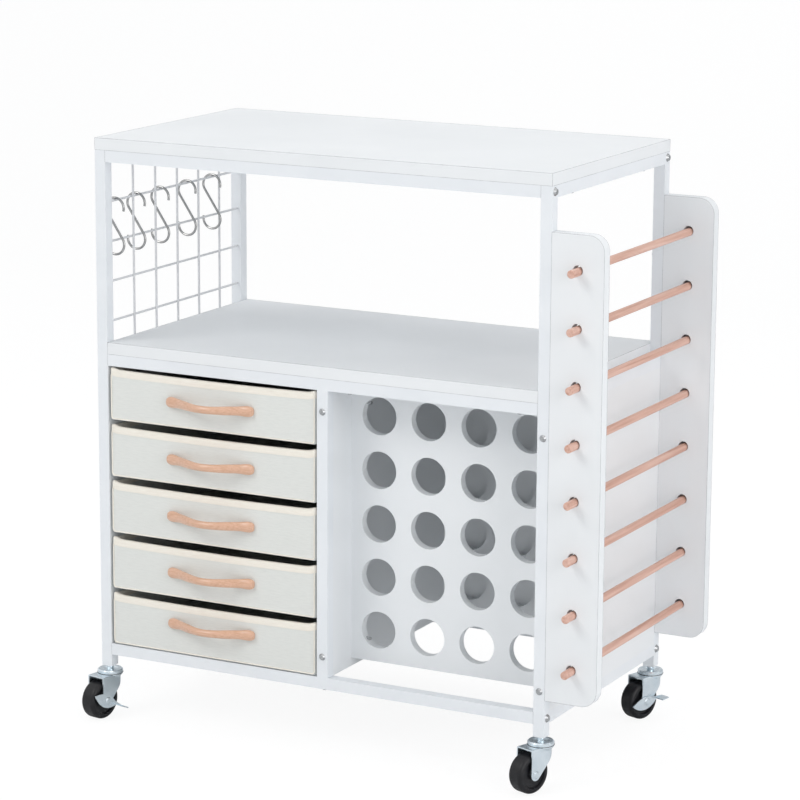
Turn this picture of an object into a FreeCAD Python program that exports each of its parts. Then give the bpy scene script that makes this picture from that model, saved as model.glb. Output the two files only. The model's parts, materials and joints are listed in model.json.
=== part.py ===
"""Rolling craft cart: a white tube frame on four casters, with five fabric drawers, a bay for upright
rolls behind holed boards, a side rack of loose wooden dowels and a wire grid with hanging hooks.

Places are first counted from the frame's left front corner on the floor: x to the right, y to the
back, z up. The finished cart is then moved so that its origin is the middle of the floor it covers.
"""
import FreeCAD, Part
import math
import os
from types import SimpleNamespace

import Sketcher

# Driving dimensions, in millimetres and degrees

SIZES = {
    # Frame of square tube
    "frame_width": 635.0,
    "frame_depth": 350.0,
    "post_height": 675.0,
    "tube": 15.0,
    "tube_wall": 1.2,
    "bottom_rail_rise": 16.0,
    "mid_rail_rise": 399.0,
    "drawer_bay_width": 305.0,
    # Boards
    "board": 15.0,
    "back_panel_thickness": 3.0,
    "back_panel_lap": 11.0,
    # Boards with the holes for rolls
    "roll_board": 12.0,
    "roll_board_setback": 62.5,
    "roll_board_rise": 42.0,
    "roll_board_drop": 13.0,
    "roll_hole": 48.0,
    "roll_edge_share": 0.1304,
    "roll_columns": 4,
    "roll_rows": 5,
    "roll_margin": 41.5,
    # Side plates and their dowels
    "plate_width": 68.0,
    "plate_rise": 47.5,
    "plate_corner": 20.0,
    "dowel_count": 8,
    "dowel_pitch": 69.6,
    "dowel_margin": 43.0,
    "dowel_diameter": 10.0,
    "dowel_hole": 13.0,
    "dowel_front": 19.5,
    "dowel_rear": 2.0,
    "dowel_edge": 0.8,
    # Wire grid and hooks
    "grid_wire": 3.0,
    "grid_columns": 6,
    "grid_rows": 4,
    "grid_pitch": 51.3,
    "grid_drop": 52.5,
    "grid_inset": 9.8,
    "hook_wire": 3.2,
    "hook_loop": 11.5,
    "hook_length": 76.0,
    "hook_tip_angle": 15.0,
    "hook_1_share": 0.0857,
    "hook_2_share": 0.2286,
    "hook_3_share": 0.3943,
    "hook_4_share": 0.5857,
    "hook_5_share": 0.7657,
    # Drawers
    "drawer_count": 5,
    "drawer_gap_above": 2.5,
    "drawer_gap_between": 7.2,
    "drawer_gap_side": 2.8,
    "drawer_front_setback": 1.0,
    "drawer_gap_rear": 8.0,
    "drawer_front_wall": 5.0,
    "drawer_wall": 3.0,
    "drawer_floor": 4.0,
    "handle_length": 125.0,
    "handle_rise": 27.0,
    "handle_depth": 8.6,
    "handle_waist": 9.6,
    "handle_swell": 12.8,
    "handle_bed": 0.8,
    "handle_screw_inset": 8.0,
    "handle_screw_bite": 6.0,
    "handle_level": 32.5,
    "low_handle_lift": 7.0,
    "runner_leg": 13.0,
    "runner_sheet": 1.2,
    "runner_upstand": 12.0,
    "slide_gap": 0.3,
    # Casters
    "caster_height": 67.0,
    "wheel_diameter": 50.0,
    "wheel_width": 21.6,
    "wheel_round": 5.0,
    "wheel_hub": 17.0,
    "wheel_recess": 2.4,
    "hub_radius": 6.0,
    "caster_offset": 20.8,
    "fork_gap": 0.9,
    "fork_sheet": 1.6,
    "fork_top": 57.0,
    "fork_back": 9.5,
    "fork_back_drop": 11.0,
    "fork_horn": 27.5,
    "fork_foot": 7.5,
    "fork_leg_lean": 44.0,
    "axle_radius": 3.0,
    "axle_head": 1.5,
    "axle_head_radius": 4.8,
    "crown_radius": 16.3,
    "crown_rim": 1.6,
    "crown_slope": 3.9,
    "cap_radius": 16.6,
    "cap_sheet": 1.4,
    "cap_floor": 7.5,
    "cap_collar": 4.6,
    "ball_diameter": 3.0,
    "ball_circle": 11.5,
    "ball_count": 10,
    "kingpin_radius": 4.0,
    "kingpin_head": 6.4,
    "stem_depth": 18.0,
    "lever_sheet": 1.5,
    "lever_tip": 26.0,
    "lever_heel": 18.0,
    "lever_belly": 9.8,
    "lever_brow": 7.0,
    "pedal_reach": 29.5,
    "pedal_width": 12.5,
    "lever_down": 26.0,
    "lever_up": 6.0,
    # Fasteners and fits
    "bolt_radius": 3.0,
    "bolt_head_radius": 5.3,
    "bolt_head": 2.8,
    "bolt_length": 35.0,
    "screw_radius": 2.0,
    "screw_head_radius": 4.4,
    "screw_head": 2.4,
    "screw_bite": 25.0,
    "screw_inset": 27.0,
    "board_screw_bite": 10.0,
    "board_screw_inset": 61.0,
    "left_screw_inset": 80.0,
    "runner_screw_inset": 35.0,
    "insert_length": 20.0,
    "small_screw_radius": 1.5,
    "small_screw_head_radius": 2.8,
    "small_screw_head": 1.2,
    "small_screw_bite": 9.0,
    "play": 0.05,
    "loose_play": 0.25,
}

# How far each caster has swivelled from trailing straight to the front, in degrees
CASTER_TURNS = {"front_left": -10.0, "front_right": -20.0, "rear_left": -15.0, "rear_right": -20.0}
BRAKE_LEVERS = {"front_left": "down", "rear_right": "up"}

doc = FreeCAD.newDocument("rolling_craft_cart")
sheet = doc.addObject("Spreadsheet::Sheet", "Sizes")
for row, (alias, number) in enumerate(SIZES.items(), start=1):
    sheet.set(f"A{row}", alias)
    sheet.set(f"B{row}", str(number))
    sheet.setAlias(f"B{row}", alias)
middle = doc.addObject("Spreadsheet::Sheet", "Middle")
for cell, alias in (("A1", "across"), ("A2", "deep")):
    middle.set(cell, "0")
    middle.setAlias(cell, alias)
doc.recompute()


class Size:
    """A length that carries its number and the sheet formula it comes from."""

    def __init__(self, number, formula):
        self.number = float(number)
        self.formula = formula

    def __add__(self, other):
        return Size(self.number + num(other), f"({self.formula} + {text(other)})")

    def __radd__(self, other):
        return Size(num(other) + self.number, f"({text(other)} + {self.formula})")

    def __sub__(self, other):
        return Size(self.number - num(other), f"({self.formula} - {text(other)})")

    def __rsub__(self, other):
        return Size(num(other) - self.number, f"({text(other)} - {self.formula})")

    def __mul__(self, other):
        return Size(self.number * num(other), f"({self.formula} * {text(other)})")

    def __rmul__(self, other):
        return Size(num(other) * self.number, f"({text(other)} * {self.formula})")

    def __truediv__(self, other):
        return Size(self.number / num(other), f"({self.formula} / {text(other)})")

    def __neg__(self):
        return Size(-self.number, f"(0 - {self.formula})")


def num(value):
    return value.number if isinstance(value, Size) else float(value)


def text(value):
    return value.formula if isinstance(value, Size) else repr(float(value))


S = SimpleNamespace(**{name: Size(value, f"Sizes.{name}") for name, value in SIZES.items()})

# Helpers: primitives bound to the sheet, and bodies with sketches

TURNS = {
    "+z": FreeCAD.Rotation(),
    "-z": FreeCAD.Rotation(FreeCAD.Vector(1, 0, 0), 180),
    "+x": FreeCAD.Rotation(FreeCAD.Vector(0, 1, 0), 90),
    "-x": FreeCAD.Rotation(FreeCAD.Vector(0, 1, 0), -90),
    "+y": FreeCAD.Rotation(FreeCAD.Vector(1, 0, 0), -90),
    "-y": FreeCAD.Rotation(FreeCAD.Vector(1, 0, 0), 90),
}
places = {}


def bind(obj, **values):
    for name, value in values.items():
        obj.setExpression(name.replace("__", "."), text(value))


def place(obj, at, rotation=None):
    if rotation is not None:
        obj.Placement = FreeCAD.Placement(FreeCAD.Vector(), rotation)
    places[obj.Name] = at
    bind(obj, Placement__Base__x=at[0], Placement__Base__y=at[1], Placement__Base__z=at[2])
    return obj


def box(at, size):
    obj = doc.addObject("Part::Box", "Box")
    bind(obj, Length=size[0], Width=size[1], Height=size[2])
    return place(obj, at)


def rod(at, way, length, radius):
    obj = doc.addObject("Part::Cylinder", "Rod")
    bind(obj, Height=length, Radius=radius)
    return place(obj, at, TURNS[way])


def cone(at, way, length, radius, tip_radius):
    obj = doc.addObject("Part::Cone", "Cone")
    bind(obj, Height=length, Radius1=radius, Radius2=tip_radius)
    return place(obj, at, TURNS[way])


def fuse(parts):
    obj = doc.addObject("Part::MultiFuse", "Fuse")
    obj.Shapes = parts
    return obj


def cut(base, tools):
    if not tools:
        return base
    group = doc.addObject("Part::Compound", "Tools")
    group.Links = tools
    obj = doc.addObject("Part::Cut", "Cut")
    obj.Base = base
    obj.Tool = group
    return obj


def new_body(name):
    return doc.addObject("PartDesign::Body", name)


def new_sketch(body, role):
    plane = next(item for item in body.Origin.OriginFeatures if item.Role == role)
    sketch = body.newObject("Sketcher::SketchObject", "Sketch")
    sketch.AttachmentSupport = [(plane, "")]
    sketch.MapMode = "FlatFace"
    return sketch


def pin_point(sketch, geometry, end, at):
    """Hold one point of the sketch at two formulas, counted from the sketch's origin."""
    for kind, value in (("DistanceX", at[0]), ("DistanceY", at[1])):
        index = sketch.addConstraint(Sketcher.Constraint(kind, -1, 1, geometry, end, num(value)))
        sketch.setExpression(f"Constraints[{index}]", text(value))


def draw_polygon(sketch, corners):
    points = [FreeCAD.Vector(num(u), num(v), 0) for u, v in corners]
    count = len(points)
    for index in range(count):
        sketch.addGeometry(Part.LineSegment(points[index], points[(index + 1) % count]), False)
    for index in range(count):
        sketch.addConstraint(Sketcher.Constraint("Coincident", index, 2, (index + 1) % count, 1))
    for index, corner in enumerate(corners):
        pin_point(sketch, index, 1, corner)


def draw_circle(sketch, centre, radius):
    point = FreeCAD.Vector(num(centre[0]), num(centre[1]), 0)
    index = sketch.addGeometry(Part.Circle(point, FreeCAD.Vector(0, 0, 1), num(radius)), False)
    pin_point(sketch, index, 3, centre)
    held = sketch.addConstraint(Sketcher.Constraint("Radius", index, num(radius)))
    sketch.setExpression(f"Constraints[{held}]", text(radius))


def pad(body, sketch, length, both_ways=False, reverse=False):
    feature = body.newObject("PartDesign::Pad", "Pad")
    feature.Profile = sketch
    bind(feature, Length=length)
    feature.Midplane = both_ways
    feature.Reversed = reverse
    return feature


def pocket(body, sketch, length, both_ways=False, reverse=False):
    feature = body.newObject("PartDesign::Pocket", "Pocket")
    feature.Profile = sketch
    bind(feature, Length=length)
    feature.Midplane = both_ways
    feature.Reversed = reverse
    return feature


def revolve(body, sketch, axis):
    feature = body.newObject("PartDesign::Revolution", "Revolution")
    feature.Profile = sketch
    feature.ReferenceAxis = (sketch, [axis])
    feature.Angle = 360
    return feature


def round_edges(body, feature, radius, chosen, kind="PartDesign::Fillet"):
    """Round, or bevel, the edges of a feature that the test picks out."""
    doc.recompute()
    names = [f"Edge{i}" for i, edge in enumerate(feature.Shape.Edges, start=1) if chosen(edge)]
    result = body.newObject(kind, "Round")
    result.Base = (feature, names)
    bind(result, **{"Radius" if kind == "PartDesign::Fillet" else "Size": radius})
    return result


def lies_at(edge, axis, value):
    """True when the whole edge lies in the plane where one coordinate has the given value."""
    bounds = edge.BoundBox
    low, high = getattr(bounds, axis + "Min"), getattr(bounds, axis + "Max")
    return abs(low - num(value)) < 0.01 and abs(high - num(value)) < 0.01


def runs_along(edge, axis):
    """True when the edge is a straight line along one axis."""
    bounds = edge.BoundBox
    lengths = {"X": bounds.XLength, "Y": bounds.YLength, "Z": bounds.ZLength}
    return all((length > 0.5) == (name == axis) for name, length in lengths.items())


nodes = []


def node(label, parts):
    """Name a finished piece, or a group of like pieces, and move it to the cart's own origin."""
    if isinstance(parts, list):
        obj = doc.addObject("Part::Compound", label)
        obj.Links = parts
        at = (0, 0, 0)
    else:
        obj = parts
        at = places.get(obj.Name, (0, 0, 0))
    obj.Label = label
    obj.setExpression("Placement.Base.x", f"{text(at[0])} - Middle.across")
    obj.setExpression("Placement.Base.y", f"{text(at[1])} - Middle.deep")
    obj.setExpression("Placement.Base.z", text(at[2]))
    nodes.append(obj)
    return obj


# Levels and places that many pieces share

zero = Size(0, "0")
floor_gap = S.caster_height
bottom_rail = floor_gap + S.bottom_rail_rise
mid_rail = floor_gap + S.mid_rail_rise
post_top = floor_gap + S.post_height
top_rail = post_top - S.tube
rail_levels = (bottom_rail, mid_rail, top_rail)
bay_floor = bottom_rail + S.tube
shelf_underside = mid_rail + S.tube
shelf_top = shelf_underside + S.board
half_tube = S.tube / 2
right_post = S.frame_width - S.tube
rear_post = S.frame_depth - S.tube
rail_run = S.frame_width - 2 * S.tube
side_run = S.frame_depth - 2 * S.tube
divider_left = S.tube + S.drawer_bay_width
divider_right = divider_left + S.tube
divider_middle = divider_left + half_tube
panel_top_screw = mid_rail - S.screw_inset
panel_bottom_screw = bay_floor + S.screw_inset
panel_screw_levels = (panel_bottom_screw, panel_top_screw)
back_panel_front = rear_post - S.back_panel_thickness
plate_bottom = floor_gap + S.plate_rise
plate_height = 2 * S.dowel_margin + (S.dowel_count - 1) * S.dowel_pitch
plate_top = plate_bottom + plate_height
roll_board_bottom = floor_gap + S.roll_board_rise
roll_board_height = shelf_underside - roll_board_bottom - S.roll_board_drop
roll_row_pitch = (roll_board_height - 2 * S.roll_margin) / (S.roll_rows - 1)
roll_bay_width = right_post - divider_right
roll_column_pitch = roll_bay_width / (S.roll_columns + S.roll_edge_share)
drawer_seat = S.runner_sheet + S.slide_gap
drawers_free = mid_rail - bay_floor - drawer_seat - S.drawer_gap_above
drawer_height = (drawers_free - (S.drawer_count - 1) * S.drawer_gap_between) / S.drawer_count
drawer_pitch = drawer_height + S.drawer_gap_between
post_corners = {
    "front_left": (half_tube, half_tube),
    "front_right": (right_post + half_tube, half_tube),
    "rear_left": (half_tube, rear_post + half_tube),
    "rear_right": (right_post + half_tube, rear_post + half_tube),
}

# Fasteners: every screw is drawn once and drills its own clearance hole

screws = []
bolts = []


def fastener(at, way, length, radius, head_radius, head):
    """A shank along its way, and a domed head standing back from the same point."""
    back = ("-" if way[0] == "+" else "+") + way[1]
    shank = rod(at, way, length, radius)
    dome = cone(at, back, head, head_radius, 0.6 * head_radius)
    return fuse([shank, dome])


def screw(at, way, length):
    screws.append(fastener(at, way, length, S.screw_radius, S.screw_head_radius, S.screw_head))
    return at, way, length


def small_screw(at, way, length):
    head_radius, head = S.small_screw_head_radius, S.small_screw_head
    screws.append(fastener(at, way, length, S.small_screw_radius, head_radius, head))
    return at, way, length


def bolt(at, way):
    bolts.append(fastener(at, way, S.bolt_length, S.bolt_radius, S.bolt_head_radius, S.bolt_head))
    return at, way, S.bolt_length


def drill(hole, radius):
    """The hole for one screw, a little longer and wider than its shank."""
    at, way, length = hole
    return rod(at, way, length + 2 * S.play, radius)


frame_bolts = {name: [] for name in post_corners}
for name, (x_middle, y_middle) in post_corners.items():
    from_left = "left" in name
    for level in rail_levels:
        face = zero if from_left else S.frame_width
        way = "+x" if from_left else "-x"
        frame_bolts[name].append(bolt((face, y_middle, level + half_tube), way))

panel_screw_length = S.tube + S.screw_bite
right_panel_screws = []
divider_screws = []
for level in panel_screw_levels:
    for x_middle, kept in ((right_post + half_tube, right_panel_screws), (divider_middle, divider_screws)):
        kept.append(screw((x_middle, zero, level), "+y", panel_screw_length))
        kept.append(screw((x_middle, S.frame_depth, level), "-y", panel_screw_length))

left_panel_screws = []
top_board_screws = {"left": [], "right": []}
for side, x_middle, screw_inset in (("left", half_tube, S.left_screw_inset),
                                    ("right", right_post + half_tube, S.board_screw_inset)):
    for y_place in (screw_inset + half_tube, S.frame_depth - screw_inset - half_tube):
        length = S.tube + S.board_screw_bite
        top_board_screws[side].append(screw((x_middle, y_place, top_rail), "+z", length))
        if side == "left":
            left_panel_screws.append(screw((x_middle, y_place, bottom_rail), "+z", panel_screw_length))
            left_panel_screws.append(screw((x_middle, y_place, shelf_underside), "-z", panel_screw_length))

shelf_screws = {"front": [], "rear": []}
for side, x_place in (
    ("front", divider_right + S.screw_inset),
    ("front", right_post - S.screw_inset),
    ("rear", S.tube + S.screw_inset),
    ("rear", right_post - S.screw_inset),
):
    y_middle = half_tube if side == "front" else rear_post + half_tube
    length = S.tube + S.board_screw_bite
    shelf_screws[side].append(screw((x_place, y_middle, mid_rail), "+z", length))

divider_post_screws = {"front": [], "rear": []}
for side in ("front", "rear"):
    y_middle = half_tube if side == "front" else rear_post + half_tube
    length = S.tube + S.insert_length
    divider_post_screws[side].append(screw((divider_middle, y_middle, bottom_rail), "+z", length))

plate_screws = {"front": [], "rear": []}
for gap_index in (0, 3, 6):
    level = plate_bottom + S.dowel_margin + (gap_index + 0.5) * S.dowel_pitch
    for side in ("front", "rear"):
        y_middle = half_tube if side == "front" else rear_post + half_tube
        plate_screws[side].append(screw((right_post, y_middle, level), "+x", panel_screw_length))

roll_board_front = {
    "front": S.roll_board_setback,
    "rear": back_panel_front - S.roll_board,
}
roll_board_screws = {"divider": [], "side": [], "rear": []}
for level in (roll_board_bottom + S.screw_inset, roll_board_bottom + roll_board_height - S.screw_inset):
    y_middle = S.roll_board_setback + S.roll_board / 2
    sunk = S.board + S.screw_bite
    roll_board_screws["divider"].append(((divider_left, y_middle, level), "+x", sunk))
    roll_board_screws["side"].append(((S.frame_width, y_middle, level), "-x", sunk))
    for x_place in (divider_right + S.screw_inset / 2, right_post - S.screw_inset / 2):
        length = S.back_panel_thickness + S.board_screw_bite
        roll_board_screws["rear"].append(screw((x_place, rear_post, level), "-y", length))

back_panel_screws = []
for x_place in (S.tube + S.board_screw_inset, divider_left - S.board_screw_inset,
                divider_right + S.board_screw_inset, right_post - S.board_screw_inset):
    for level in (bottom_rail + half_tube, mid_rail + half_tube):
        at = (x_place, back_panel_front, level)
        back_panel_screws.append(small_screw(at, "+y", S.back_panel_thickness + S.tube_wall * 4))

drawer_ledges = [bay_floor + S.runner_sheet + index * drawer_pitch
                 for index in reversed(range(int(num(S.drawer_count))))]
runner_screws = {"left": [], "right": []}
for ledge in drawer_ledges:
    level = ledge + S.runner_upstand / 2 - S.runner_sheet
    for side, face, way in (("left", S.tube + S.runner_sheet, "-x"),
                            ("right", divider_left - S.runner_sheet, "+x")):
        for y_place in (S.tube + S.runner_screw_inset, rear_post - S.runner_screw_inset):
            length = S.runner_sheet + S.small_screw_bite
            runner_screws[side].append(small_screw((face, y_place, level), way, length))

shank_hole = S.screw_radius + S.play
clear_hole = S.screw_radius + S.loose_play
small_hole = S.small_screw_radius + S.play
bolt_hole = S.bolt_radius + S.loose_play


def sunk_screw(hole):
    """A flat-headed screw whose head lies flush in the board's face."""
    at, way, length = hole
    shank = rod(at, way, length, S.screw_radius)
    head = cone(at, way, S.screw_head, S.screw_head_radius - S.play, S.screw_radius)
    return fuse([shank, head])


def sunk_drill(hole):
    at, way, length = hole
    return fuse([
        rod(at, way, length + S.play, shank_hole),
        cone(at, way, S.screw_head, S.screw_head_radius, shank_hole),
    ])


for hole in roll_board_screws["divider"] + roll_board_screws["side"]:
    screws.append(sunk_screw(hole))

# Frame: two welded side frames, six cross rails and two divider posts, all of square tube


def tube(at, way, length, holes=()):
    """A square tube from its lowest corner, hollow from end to end."""
    inside = S.tube - 2 * S.tube_wall
    axis = "xyz".index(way)
    size = [S.tube] * 3
    hollow = [inside] * 3
    hollow_at = [place_ + S.tube_wall for place_ in at]
    size[axis] = length
    hollow[axis] = length
    hollow_at[axis] = at[axis]
    return cut(box(at, size), [box(hollow_at, hollow)] + list(holes))


def side_frame(label, x_left, corner_names, panel_holes, rail_holes):
    pieces = []
    for corner in corner_names:
        y_front = zero if "front" in corner else rear_post
        holes = [drill(hole, bolt_hole) for hole in frame_bolts[corner]]
        holes += [drill(hole, clear_hole) for hole in panel_holes]
        pieces.append(tube((x_left, y_front, floor_gap), "z", S.post_height, holes))
    for level in rail_levels:
        holes = [drill(hole, clear_hole) for hole in rail_holes]
        pieces.append(tube((x_left, S.tube, level), "y", side_run, holes))
    return node(label, pieces)


side_frame("left_side_frame", zero, ("front_left", "rear_left"), [],
           left_panel_screws + top_board_screws["left"])
side_frame("right_side_frame", right_post, ("front_right", "rear_right"),
           right_panel_screws + plate_screws["front"] + plate_screws["rear"], top_board_screws["right"])

for side, y_front in (("front", zero), ("rear", rear_post)):
    drills = {
        "bottom": [drill(hole, clear_hole) for hole in divider_post_screws[side]],
        "mid": [drill(hole, clear_hole) for hole in shelf_screws[side]],
        "top": [],
    }
    if side == "rear":
        drills["bottom"] += [drill(hole, small_hole) for hole in back_panel_screws]
        drills["mid"] += [drill(hole, small_hole) for hole in back_panel_screws]
    for name, level in zip(("bottom", "mid", "top"), rail_levels):
        node(f"{side}_{name}_rail", tube((S.tube, y_front, level), "x", rail_run, drills[name]))
    post_run = mid_rail - bay_floor
    holes = [drill(hole, clear_hole) for hole in divider_screws]
    node(f"{side}_divider_post", tube((divider_left, y_front, bay_floor), "z", post_run, holes))

# Threaded inserts in the tube ends: for the rail bolts, the divider posts and the caster stems

insert_side = S.tube - 2 * S.tube_wall - 2 * S.play
inset = S.tube_wall + S.play
inserts = []
for name, (x_middle, y_middle) in post_corners.items():
    y_front = y_middle - half_tube + inset
    x_start = S.tube if "left" in name else right_post - S.insert_length
    for level, hole in zip(rail_levels, frame_bolts[name]):
        block = box((x_start, y_front, level + inset), (S.insert_length, insert_side, insert_side))
        inserts.append(cut(block, [drill(hole, S.bolt_radius + S.play)]))
    x_front = x_middle - half_tube + inset
    plug = box((x_front, y_front, floor_gap), (insert_side, insert_side, S.stem_depth + S.tube_wall))
    bore = rod((x_middle, y_middle, floor_gap - S.play), "+z", S.stem_depth + 2 * S.play,
               S.kingpin_radius + S.play)
    inserts.append(cut(plug, [bore]))
for side in ("front", "rear"):
    y_front = (zero if side == "front" else rear_post) + inset
    block = box((divider_left + inset, y_front, bay_floor), (insert_side, insert_side, S.insert_length))
    inserts.append(cut(block, [drill(hole, shank_hole) for hole in divider_post_screws[side]]))
node("tube_inserts", inserts)

# Boards: top, shelf, sides, divider and back

top_holes = [drill(hole, shank_hole) for hole in top_board_screws["left"] + top_board_screws["right"]]
node("top_board", cut(box((zero, zero, post_top),
                          (S.frame_width, S.frame_depth, S.board)), top_holes))

shelf_board = box((S.tube, zero, shelf_underside), (rail_run, S.frame_depth, S.board))
shelf_holes = [drill(hole, shank_hole) for hole in shelf_screws["front"] + shelf_screws["rear"]]
node("mid_shelf_board", cut(shelf_board, shelf_holes))

panel_size = (S.board, side_run, mid_rail - bay_floor)
left_panel = box((zero, S.tube, bay_floor), panel_size)
left_holes = [drill(hole, shank_hole) for hole in left_panel_screws]
left_holes += [drill(hole, small_hole) for hole in runner_screws["left"]]
node("left_side_panel", cut(left_panel, left_holes))

right_panel = box((S.frame_width - S.board, S.tube, bay_floor), panel_size)
right_holes = [drill(hole, shank_hole) for hole in right_panel_screws]
right_holes += [sunk_drill(hole) for hole in roll_board_screws["side"]]
node("right_side_panel", cut(right_panel, right_holes))

divider_panel = box((divider_left, S.tube, bay_floor),
                    (S.board, back_panel_front - S.tube, shelf_underside - bay_floor))
divider_holes = [drill(hole, shank_hole) for hole in divider_screws]
divider_holes += [sunk_drill(hole) for hole in roll_board_screws["divider"]]
divider_holes += [drill(hole, small_hole) for hole in runner_screws["right"]]
node("divider_panel", cut(divider_panel, divider_holes))

back_bottom = bay_floor - S.back_panel_lap
back_panel = box((S.tube, back_panel_front, back_bottom),
                 (rail_run, S.back_panel_thickness, shelf_underside - back_bottom))
back_holes = [drill(hole, small_hole) for hole in back_panel_screws]
back_holes += [drill(hole, shank_hole) for hole in roll_board_screws["rear"]]
back_holes += [drill(hole, clear_hole) for hole in divider_screws]
node("back_panel", cut(back_panel, back_holes))


# Holed boards that carry the upright rolls


def roll_board(label, y_front, holes):
    body = new_body(f"{label}_blank")
    outline = new_sketch(body, "XZ_Plane")
    draw_polygon(outline, [(zero, zero), (roll_bay_width, zero), (roll_bay_width, roll_board_height),
                           (zero, roll_board_height)])
    plate = pad(body, outline, S.roll_board, reverse=True)
    opening = new_sketch(body, "XZ_Plane")
    first_column = (roll_bay_width - (S.roll_columns - 1) * roll_column_pitch) / 2
    draw_circle(opening, (first_column, S.roll_margin), S.roll_hole / 2)
    bore = pocket(body, opening, S.roll_board * 2, both_ways=True)
    grid = body.newObject("PartDesign::MultiTransform", "Grid")
    grid.Originals = [bore]
    steps = []
    patterns = (("H_Axis", S.roll_columns, roll_column_pitch), ("V_Axis", S.roll_rows, roll_row_pitch))
    for axis, count, pitch in patterns:
        step = body.newObject("PartDesign::LinearPattern", "Step")
        step.Direction = (outline, [axis])
        bind(step, Length=(count - 1) * pitch, Occurrences=count)
        steps.append(step)
    grid.Transformations = steps
    body.Tip = grid
    place(body, (divider_right, y_front, roll_board_bottom))
    return node(label, cut(body, holes) if holes else body), plate


front_holes = [drill(hole, shank_hole) for hole in roll_board_screws["divider"] + roll_board_screws["side"]]
rear_holes = [drill(hole, shank_hole) for hole in roll_board_screws["rear"]]
roll_boards = [
    roll_board("front_roll_board", roll_board_front["front"], front_holes),
    roll_board("rear_roll_board", roll_board_front["rear"], rear_holes),
]

# Side plates, screwed to the right posts, with a row of holes for the dowels

dowel_levels = [plate_bottom + S.dowel_margin + index * S.dowel_pitch
                for index in range(int(num(S.dowel_count)))]


def side_plate(label, y_front, holes, blind):
    body = new_body(f"{label}_blank")
    outline = new_sketch(body, "XZ_Plane")
    draw_polygon(outline, [(zero, zero), (S.plate_width, zero), (S.plate_width, plate_height),
                           (zero, plate_height)])
    plate = pad(body, outline, S.board, reverse=True)
    rounded = round_edges(body, plate, S.plate_corner,
                          lambda edge: runs_along(edge, "Y") and lies_at(edge, "X", S.plate_width))
    opening = new_sketch(body, "XZ_Plane")
    draw_circle(opening, (S.plate_width / 2, S.dowel_margin), S.dowel_hole / 2)
    depth = S.board - S.tube_wall * 2 if blind else S.board * 2
    bore = pocket(body, opening, depth, both_ways=not blind)
    row = body.newObject("PartDesign::LinearPattern", "Row")
    row.Originals = [bore]
    row.Direction = (outline, ["V_Axis"])
    bind(row, Length=(S.dowel_count - 1) * S.dowel_pitch, Occurrences=S.dowel_count)
    body.Tip = row
    place(body, (S.frame_width, y_front, plate_bottom))
    level = mid_rail + half_tube
    nest = rod((S.frame_width - S.play, y_front + half_tube, level), "+x",
               S.bolt_head + S.play + S.loose_play, S.bolt_head_radius + S.loose_play)
    return node(label, cut(body, holes + [nest])), rounded


plates = [
    side_plate("front_side_plate", zero,
               [drill(hole, shank_hole) for hole in plate_screws["front"]], False),
    side_plate("rear_side_plate", rear_post,
               [drill(hole, shank_hole) for hole in plate_screws["rear"]], True),
]

# Loose dowels, each lying on the bottom of its two holes

dowel_drop = (S.dowel_hole - S.dowel_diameter) / 2 - S.play
dowel_end = S.frame_depth - S.tube_wall * 2 - S.dowel_rear
for index, level in enumerate(reversed(dowel_levels), start=1):
    body = new_body(f"dowel_{index}")
    section = new_sketch(body, "XZ_Plane")
    draw_circle(section, (zero, zero), S.dowel_diameter / 2)
    stick = pad(body, section, dowel_end + S.dowel_front, reverse=True)
    round_edges(body, stick, S.dowel_edge, lambda edge: edge.BoundBox.YLength < 0.01,
                "PartDesign::Chamfer")
    at = (S.frame_width + S.plate_width / 2, -S.dowel_front, level - dowel_drop)
    node(f"dowel_{index}", place(body, at))

# Wire grid in the left side frame

grid_levels = [top_rail - S.grid_drop - index * S.grid_pitch for index in range(int(num(S.grid_rows)))]
grid_places = [S.tube + index * side_run / S.grid_columns
               for index in range(1, int(num(S.grid_columns)))]
wires = [rod((S.grid_inset, S.tube, level), "+y", side_run, S.grid_wire / 2) for level in grid_levels]
wires += [rod((S.grid_inset + S.grid_wire, y_place, shelf_underside), "+z", top_rail - shelf_underside,
              S.grid_wire / 2) for y_place in grid_places]
node("side_grid", wires)

# Hooks bent from wire into an S, hung over the grid's top wire

hook_radius = num(S.hook_loop) + num(S.hook_wire) / 2
hook_span = num(S.hook_length) - 2 * hook_radius - num(S.hook_wire)
hook_lean = math.acos(2 * hook_radius / hook_span)
tip_angle = math.radians(num(S.hook_tip_angle))


def on_circle(centre, radius, angle):
    return centre + FreeCAD.Vector(radius * math.cos(angle), 0, radius * math.sin(angle))


def hook_shape():
    """The S in the plane across the wire, with the middle of the wire at its origin."""
    drop = num(S.hook_loop) - num(S.grid_wire) / 2 - num(S.play)
    upper = FreeCAD.Vector(0, 0, -drop)
    lower = FreeCAD.Vector(0, 0, -drop - hook_span)
    leave = math.pi * 1.5 - hook_lean
    start = on_circle(upper, hook_radius, -tip_angle)
    upper_end = on_circle(upper, hook_radius, leave)
    lower_start = on_circle(lower, hook_radius, leave - math.pi)
    finish = on_circle(lower, hook_radius, -math.pi - tip_angle)
    path = Part.Wire([
        Part.Arc(start, on_circle(upper, hook_radius, math.pi / 2), upper_end).toShape(),
        Part.LineSegment(upper_end, lower_start).toShape(),
        Part.Arc(lower_start, on_circle(lower, hook_radius, -math.pi / 2), finish).toShape(),
    ])
    along = path.Edges[0].tangentAt(path.Edges[0].FirstParameter)
    ring = Part.Wire([Part.makeCircle(num(S.hook_wire) / 2, start, along)])
    return path.makePipeShell([ring], True, False)


hook_bends = hook_shape()
hook_shares = (S.hook_1_share, S.hook_2_share, S.hook_3_share, S.hook_4_share, S.hook_5_share)
for index, share in enumerate(hook_shares, start=1):
    hook = doc.addObject("Part::Feature", f"hook_{index}")
    hook.Shape = hook_bends
    node(f"hook_{index}", place(hook, (S.grid_inset, S.frame_depth * share, grid_levels[0])))

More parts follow.
